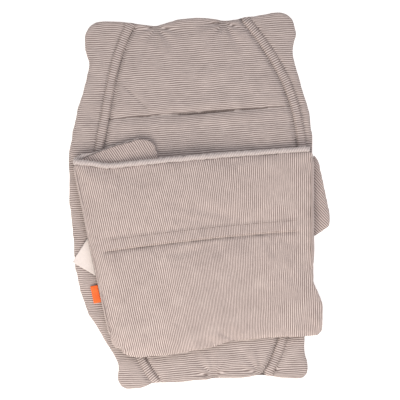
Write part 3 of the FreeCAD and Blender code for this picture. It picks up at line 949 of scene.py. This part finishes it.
def make_pleat():
    """A tuck sewn across the wing: flat at its upper row, with its fold standing up a little at the lower."""
    first, last = pleat_lines[0, 0], pleat_lines[-1, 0]

    def place(s, t):
        x = last - s * (last - first)
        low, high = pleat_at(x)
        y = low + (high - low) * t
        ground = height_of(wing_tree, x, y, WING_HIGH)
        ends = min(1.0, min(s, 1 - s) * 22)
        crown = (1 - t) ** 0.7 * min(1.0, t * 9) ** 0.5
        wavy = 0.18 * MM * math.sin(x / (3.3 * MM) + 2 * math.sin(x / (31 * MM)))
        return x, y, ground - 0.25 * MM + ends * ((1.0 * MM + wavy) * crown + 0.15 * MM)

    piece = woven_strip("wing_tuck", 220, 14, place, (last - first, 20 * MM), 0.9 * MM)
    outward(piece)
    co = points(piece)
    across, along = wing_cloth(co[:, 0], co[:, 1])
    paint(piece, across + 0.5 * MM * lumps(co, 80 * MM, 28), along)
    finished(piece, PALE_COTTON)
    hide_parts("wing_pleat")
    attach(piece, "wing")
    tree = surface_of(piece)
    rows = []
    for share in (0.12, 0.9):
        row = []
        for x in np.arange(first + 4 * MM, last - 4 * MM, 1.5 * MM):
            low, high = pleat_at(x)
            y = low + (high - low) * share
            row.append(on_surface(tree, x, y, WING_HIGH))
        rows.append(row)
    thread = stitches("wing_tuck_stitches", rows, 0.75 * MM, 0.5 * MM)
    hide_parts("wing_pleat_stitching")
    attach(thread, "wing")


make_pleat()


# ---------------------------------------------------------------- the wing's end, folded under

def make_end():
    nodes = ["end_upper_cloth", "end_lower_cloth", "end_padding"]
    piece = remeshed("wing_end_panel", nodes, 4 * MM, 0.8, lambda co: np.full(len(co), WING_LOW))
    co = points(piece)
    held = (co[:, 2] < WING_LOW + 1.2 * MM) * 1.0
    co = inflated(piece, held, 3 * MM)
    co[:, 2] = np.clip(co[:, 2], WING_LOW, WING_LOW + WING_THICK)
    set_points(piece, co)
    applied(piece, "SUBSURF", levels=1, render_levels=1)
    co = points(piece)
    top = step(normals(piece)[:, 2], 0.1, 0.7)
    slant = co[:, 0] * 0.9 - co[:, 1] * 0.4 + 6 * MM * lumps(co, 40 * MM, 31)
    co[:, 2] += top * (0.5 * MM * np.sin(slant / (6 * MM)) + 0.5 * MM * lumps(co, 30 * MM, 32) - 0.7 * MM)
    thin = 1 - 0.3 * step(from_fold(co)[1], 60 * MM, 120 * MM)
    co[:, 2] = WING_LOW + np.clip(co[:, 2] - WING_LOW, 0, WING_THICK) * thin
    co = rounded_corner(rounded_fold(co, -1), END_CORNER)
    set_points(piece, co)
    x, y = unfolded(piece, WING_LOW + WING_THICK)
    paint(piece, *leaning(x, y, 33))
    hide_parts(*nodes)
    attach(piece, "wing_end")
    return finished(piece, PALE_COTTON)


make_end()


def make_fold():
    """The strip of cloth at the outside of the left fold, from the wing to its end."""
    def place(s, t):
        along = 6 * MM + s * (FOLD_LENGTH - END_CORNER)
        turn = (t - 0.5) * math.radians(84)
        reach = WING_THICK + float(fold_bow(along)) - 0.1 * MM
        ends = min(1.0, min(s, 1 - s) * 40 + 0.02) ** 0.5
        sunk = 1.2 * MM * (abs(2 * t - 1) ** 6 + 1 - ends)
        inward = WING_THICK - (reach - sunk) * math.cos(turn)
        point = FOLD_TOP + ALONG * along + INWARD * inward
        return point.x, point.y, FOLD_HEIGHT - (WING_THICK - sunk) * math.sin(turn) * ends

    width = 2 * WING_THICK * math.radians(42)
    piece = woven_strip("left_fold", 160, 16, place, (FOLD_LENGTH, width), 0.8 * MM)
    outward(piece)
    co = points(piece)
    across, along = wing_cloth(co[:, 0], co[:, 1])
    paint(piece, across - (WING_HIGH - co[:, 2]), along)
    finished(piece, PALE_COTTON)
    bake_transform(piece)


make_fold()


# ---------------------------------------------------------------- rolled edges

def make_roll(name, node, body, thick, taper, turned, seed):
    """A rolled and overlocked edge: a fuzzy tube with slanting ridges, along the CAD edge. It is thinner by
    taper and sunk into the pad at its far end, and turned is the radius by which that end bends down."""
    tree = surface_of(frame["nodes"][node])
    low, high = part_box(node)
    centre = []
    for x in np.arange(low.x + 1.5 * MM, high.x - MM, 1.2 * MM):
        found = []
        for y in np.arange(low.y - MM, high.y + MM, 0.5 * MM):
            z = height_of(tree, x, y, None)
            if z is not None:
                found.append((y, z))
        if found:
            found = np.array(found)
            centre.append((x, (found[0, 0] + found[-1, 0]) / 2, found[:, 1].max() - 2.2 * MM))
    centre = np.array(centre)
    smooth = np.ones(9) / 9
    for c in (1, 2):
        padded = np.pad(centre[:, c], 4, mode="edge")
        centre[:, c] = np.convolve(padded, smooth, mode="valid")
    if turned:
        bend = np.radians([15, 30, 45, 60, 75, 90])
        over = np.stack([np.sin(bend), 0 * bend, np.cos(bend) - 1], axis=1) * turned
        centre = np.concatenate([centre, centre[-1] + over])
    run = lengths_along(centre)
    total = run[-1]

    def place(s, t):
        at = np.array([np.interp(s * total, run, centre[:, c]) for c in range(3)])
        turn = 2 * math.pi * t
        ends = min(1.0, (min(s, 1 - s) * total / (2.2 * MM))) ** 0.5
        ridge = 0.22 * MM * math.sin(2 * math.pi * (s * total / (2.6 * MM) + t))
        rough = 0.8 * MM * noise.noise(Vector((s * total * 160, math.cos(turn), math.sin(turn))))
        fade = taper * step(s, 0.12, 0.36)
        radius = (thick + ridge + rough) * ends * (1 - fade)
        sunk = 4.4 * MM * fade
        uneven = 0.8 * MM * noise.noise(Vector((s * total * 55, 3.7, seed)))
        y = at[1] - 0.1 * MM + uneven - 3.0 * MM * fade - 1.5 * radius * math.cos(turn)
        return at[0], y, at[2] - 0.5 * MM + radius * math.sin(turn) - sunk

    piece = woven_strip(name, int(total / (0.65 * MM)), 12, place, (total, 2 * math.pi * thick), 0)
    outward(piece, 0.01 * MM)
    finished(piece, ROLLED)
    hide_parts(node)
    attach(piece, body)


make_roll("wing_top_roll", "wing_rolled_edge", "wing", 3.0 * MM, 0.0, 4.5 * MM, 1.3)
make_roll("end_top_roll", "end_rolled_edge", "wing_end", 2.6 * MM, 0.8, 0.0, 8.1)


# ---------------------------------------------------------------- joining strip, label and side tab

def make_joining_strip():
    """The strip of cloth that joins the back panel to the wing's sewn edge, round the line it turns about."""
    low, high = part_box("joining_strip")
    pivot_x, pivot_z = 185.6 * MM, 20.8 * MM

    def place(s, t):
        y = low.y + s * (high.y - low.y)
        turn = -math.pi / 2 + math.pi * t
        puff = 1 + 0.06 * math.sin(y / (7 * MM))
        tucked = 1 - min(1.0, min(s, 1 - s) * (high.y - low.y) / (22 * MM))
        reach = 5.2 * MM * (1 - 0.6 * tucked ** 2)
        x = pivot_x - 9.0 * MM - 1.5 * MM * tucked ** 2 + reach * math.cos(turn) * puff
        z = pivot_z - 2.2 * MM + reach * math.sin(turn)
        return x, y, z

    piece = woven_strip("joining_strip_cloth", 90, 14, place, (high.y - low.y, 20 * MM), 1.0 * MM)
    outward(piece)
    co = points(piece)
    across, along = wing_cloth(co[:, 0] + pivot_z - co[:, 2], co[:, 1])
    paint(piece, across, along)
    finished(piece, PALE_COTTON)
    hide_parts("joining_strip")
    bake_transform(piece)
    return piece


make_joining_strip()


def make_label():
    """The free corner of a satin care label, left blank, lifting a little off the cloth."""
    outline = [Vector((p[0], p[1], 0)) for p in points(frame["nodes"]["care_label"])]
    tip = min(outline, key=lambda p: p.dot(INWARD)) - INWARD * 0.6 * MM
    first = min(outline, key=lambda p: p.dot(ALONG) - p.dot(INWARD)) - ALONG * 0.6 * MM + INWARD * 0.6 * MM
    last = max(outline, key=lambda p: p.dot(ALONG) + p.dot(INWARD)) + ALONG * 0.6 * MM + INWARD * 0.6 * MM
    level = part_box("care_label")[0].z

    def place(s, t):
        near = first.lerp(last, s)
        point = near.lerp(tip, t)
        lift = 0.25 * MM + 0.6 * MM * t * math.sin(math.pi * s) + 0.25 * MM * math.sin(6 * s + 3 * t)
        return point.x, point.y, level + 0.25 * MM + max(lift, 0)

    piece = woven_strip("care_label_satin", 28, 20, place, (64 * MM, 32 * MM), 0.25 * MM)
    co = points(piece)
    paint(piece, co[:, 0] * 0.7 + co[:, 1] * 0.7, co[:, 1] * 0.7 - co[:, 0] * 0.7)
    outward(piece, 0.01 * MM)
    finished(piece, LABEL)
    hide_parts("care_label")
    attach(piece, "care_label")


make_label()


def make_side_tab():
    """A tab of orange grosgrain ribbon, left blank, at the size that it lies at: ribbed, with soft edges."""
    along, inward = from_fold(points(frame["nodes"]["side_tab"]))
    a0, a1, i0, i1 = along.min(), along.max(), inward.min(), inward.max()
    low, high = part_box("side_tab")

    def place(s, t):
        turn = 2 * math.pi * t
        half = (i1 - i0) / 2
        across = math.copysign(abs(math.cos(turn)) ** 0.35, math.cos(turn))
        up = math.copysign(abs(math.sin(turn)) ** 0.6, math.sin(turn))
        thin = 1 - 0.25 * (2 * s - 1) ** 6
        point = FOLD_TOP + ALONG * (a0 + s * (a1 - a0)) + INWARD * ((i0 + i1) / 2 + half * across)
        z = (low.z + high.z) / 2 + 0.2 * MM + 0.75 * MM * up * thin + 0.15 * MM * math.sin(9 * s)
        return point.x, point.y, z

    piece = woven_strip("side_tab_ribbon", 30, 28, place, (a1 - a0, 2 * (i1 - i0)), 0)
    pick(piece)
    bpy.ops.object.mode_set(mode="EDIT")
    bpy.ops.mesh.select_all(action="SELECT")
    bpy.ops.mesh.remove_doubles(threshold=1e-5)
    bpy.ops.mesh.select_all(action="DESELECT")
    bpy.ops.mesh.select_non_manifold()
    bpy.ops.mesh.edge_face_add()
    bpy.ops.mesh.select_all(action="SELECT")
    bpy.ops.mesh.normals_make_consistent(inside=False)
    bpy.ops.object.mode_set(mode="OBJECT")
    finished(piece, ORANGE)
    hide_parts("side_tab")
    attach(piece, "side_tab")


make_side_tab()


# ---------------------------------------------------------------- floor, light and camera

deselect()
bpy.ops.mesh.primitive_plane_add(size=40, location=(0, 0, -0.0004))
floor = bpy.context.object
floor.name = "floor"
bpy.ops.object.transform_apply(location=True, rotation=True, scale=True)
floor.data.materials.append(pale_floor())


def soft_light(name, place, size, power, colour):
    """A square soft box aimed at the wrap."""
    bpy.ops.object.light_add(type="AREA", location=place)
    light = bpy.context.object
    light.name = name
    light.data.size = size
    light.data.energy = power
    light.data.color = linear(colour)[:3]
    light.rotation_euler = (-Vector(place)).to_track_quat("-Z", "Y").to_euler()


soft_light("key_light", (-0.42, -1.2, 1.2), 1.4, 31, "#fff7ee")
soft_light("fill_light", (0.9, 0.9, 2.2), 1.8, 19, "#fbf8ff")

world = bpy.data.worlds.new("studio")
bpy.context.scene.world = world
world.use_nodes = True
world.node_tree.nodes["Background"].inputs["Color"].default_value = (1, 1, 1, 1)
world.node_tree.nodes["Background"].inputs["Strength"].default_value = 0.5

# Straight above, with a long lens; the view is 0.64 m wide at the wrap
VIEW_WIDTH = 0.64
LENS, SENSOR = 200.0, 36.0
bpy.ops.object.camera_add(location=(0, 0, VIEW_WIDTH * LENS / SENSOR + 0.02), rotation=(0, 0, 0))
camera = bpy.context.object
camera.data.lens = LENS
camera.data.sensor_width = SENSOR
bpy.context.scene.camera = camera
bpy.context.scene.view_settings.view_transform = "Standard"
